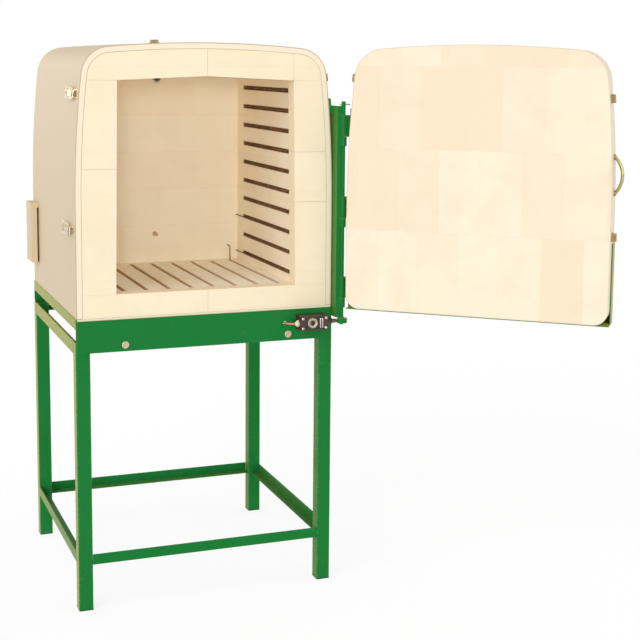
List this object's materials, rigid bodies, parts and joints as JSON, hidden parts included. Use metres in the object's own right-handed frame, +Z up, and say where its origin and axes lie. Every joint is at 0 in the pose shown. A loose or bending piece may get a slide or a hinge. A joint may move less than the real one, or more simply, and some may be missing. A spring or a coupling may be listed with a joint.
{
  "type": "front-loading kiln",
  "caption": "Front-loading electric kiln with a brick-lined chamber in a sheet jacket, side-hung door, draw latches and door switch, on an open steel stand.",
  "frame": {"origin": "on the floor under the middle of the stand", "axes": "+Z up, +X to the right seen from the front, the chamber's mouth faces -Y"},
  "size_m": [1.4091, 1.2839, 1.59],
  "materials": {
    "green_paint": "gloss brushed-on paint",
    "foot_rubber": "moulded",
    "galvanised": "galvanised",
    "bolt_brass": "yellow passivated",
    "washer_steel": "bright zinc",
    "jacket_sheet": "satin",
    "fibre": "matt fibrous",
    "chamber_brick": "matt porous",
    "face_brick": "matt porous",
    "element_wire": "oxidised",
    "tube_ceramic": "matt",
    "probe_steel": "heat tinted",
    "fitting_steel": "yellow zinc",
    "switch_case": "moulded",
    "switch_steel": "turned",
    "gland_plastic": "moulded",
    "lead_sheath": "smooth"
  },
  "bodies": {
    "kiln": {"leg_front_left": "green_paint", "leg_front_right": "green_paint", "leg_rear_left": "green_paint", "leg_rear_right": "green_paint", "top_cross_rails": "green_paint", "top_side_rails": "green_paint", "shelf_cross_rails": "green_paint", "shelf_side_rails": "green_paint", "base_frame": "green_paint", "front_apron": "green_paint", "rear_apron": "green_paint", "hinge_post": "green_paint", "foot_plugs": "foot_rubber", "base_pan": "galvanised", "apron_bolts": "bolt_brass", "apron_washers": "washer_steel", "jacket": "jacket_sheet", "rear_panel": "jacket_sheet", "terminal_cover": "jacket_sheet", "fibre_blanket": "fibre", "back_fibre": "fibre", "floor_board": "fibre", "floor_bricks": "chamber_brick", "left_wall": "chamber_brick", "right_wall": "chamber_brick", "back_wall": "chamber_brick", "roof_slabs": "chamber_brick", "left_jamb": "face_brick", "right_jamb": "face_brick", "lintel": "face_brick", "sill": "face_brick", "wall_elements": "element_wire", "floor_elements": "element_wire", "vent_tube": "tube_ceramic", "terminal_block": "tube_ceramic", "thermocouple": "probe_steel", "jacket_clamps": "fitting_steel", "latch_bases": "fitting_steel", "switch_body": "switch_case", "switch_cover": "switch_case", "switch_screws": "switch_steel", "switch_gland": "gland_plastic", "switch_lead": "lead_sheath"},
    "door": {"door_frame": "green_paint", "door_band": "jacket_sheet", "door_panel": "jacket_sheet", "door_fibre": "fibre", "door_bricks": "face_brick", "door_handle": "fitting_steel", "door_catches": "fitting_steel", "door_clamp": "fitting_steel", "hinge_leaves": "green_paint", "hinge_rod": "green_paint", "split_pin": "switch_steel", "switch_cam": "green_paint"},
    "upper_lever_body": {"upper_lever": "fitting_steel"},
    "upper_bail_body": {"upper_bail": "fitting_steel"},
    "lower_lever_body": {"lower_lever": "fitting_steel"},
    "lower_bail_body": {"lower_bail": "fitting_steel"},
    "plunger_body": {"switch_plunger": "switch_steel"}
  },
  "joints": [
    {"name": "door_hinge", "type": "hinge", "parent": "kiln", "child": "door", "pos_m": [0.393, -0.38, 1.1], "axis": [0, 0, 1], "range_deg": [-140, 40]},
    {"name": "switch_plunger_slide", "type": "slide", "parent": "kiln", "child": "plunger_body", "axis": [1, 0, 0], "range_m": [-0.00312, 0.0009]},
    {"name": "upper_lever_pivot", "type": "hinge", "parent": "kiln", "child": "upper_lever_body", "pos_m": [-0.36505, -0.312, 1.44377], "axis": [0.0957, 0, 0.9954], "range_deg": [0, 100]},
    {"name": "upper_bail_pivot", "type": "hinge", "parent": "kiln", "child": "upper_bail_body", "pos_m": [-0.36505, -0.294, 1.44377], "axis": [0.0957, 0, 0.9954], "range_deg": [0, 180]},
    {"name": "lower_lever_pivot", "type": "hinge", "parent": "kiln", "child": "lower_lever_body", "pos_m": [-0.38, -0.312, 1.072], "axis": [0, 0, 1], "range_deg": [0, 100]},
    {"name": "lower_bail_pivot", "type": "hinge", "parent": "kiln", "child": "lower_bail_body", "pos_m": [-0.38, -0.294, 1.072], "axis": [0, 0, 1], "range_deg": [0, 180]}
  ],
  "couplings": [
    {"joint": "switch_plunger_slide", "follows": "door_hinge", "m_per_rad": 0.0012732}
  ]
}
